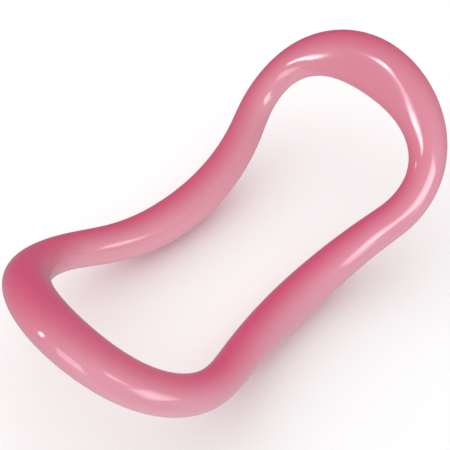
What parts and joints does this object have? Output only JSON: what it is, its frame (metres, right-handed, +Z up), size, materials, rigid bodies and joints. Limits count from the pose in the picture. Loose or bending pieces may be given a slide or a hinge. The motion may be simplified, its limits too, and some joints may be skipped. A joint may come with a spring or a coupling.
{
  "type": "pilates ring",
  "caption": "Closed hard-plastic exercise ring: a waisted oval tube bent like a saddle, with a flat grip on one raised end, for stretching and massage.",
  "frame": {"origin": "under the middle of the ring's box, at the height of the surface it rests on", "axes": "+X along the ring towards the round end with the flat grip, +Y across the ring, +Z up on the hollow side of the arch"},
  "size_m": [0.2352, 0.1246, 0.0913],
  "materials": {
    "shell_plastic": "high-gloss moulded plastic, pink",
    "seam_cement": "cured solvent cement, pink"
  },
  "bodies": {
    "root": {"upper_shell": "shell_plastic", "lower_shell": "shell_plastic", "outer_seam_cement": "seam_cement", "inner_seam_cement": "seam_cement"}
  },
  "joints": []
}
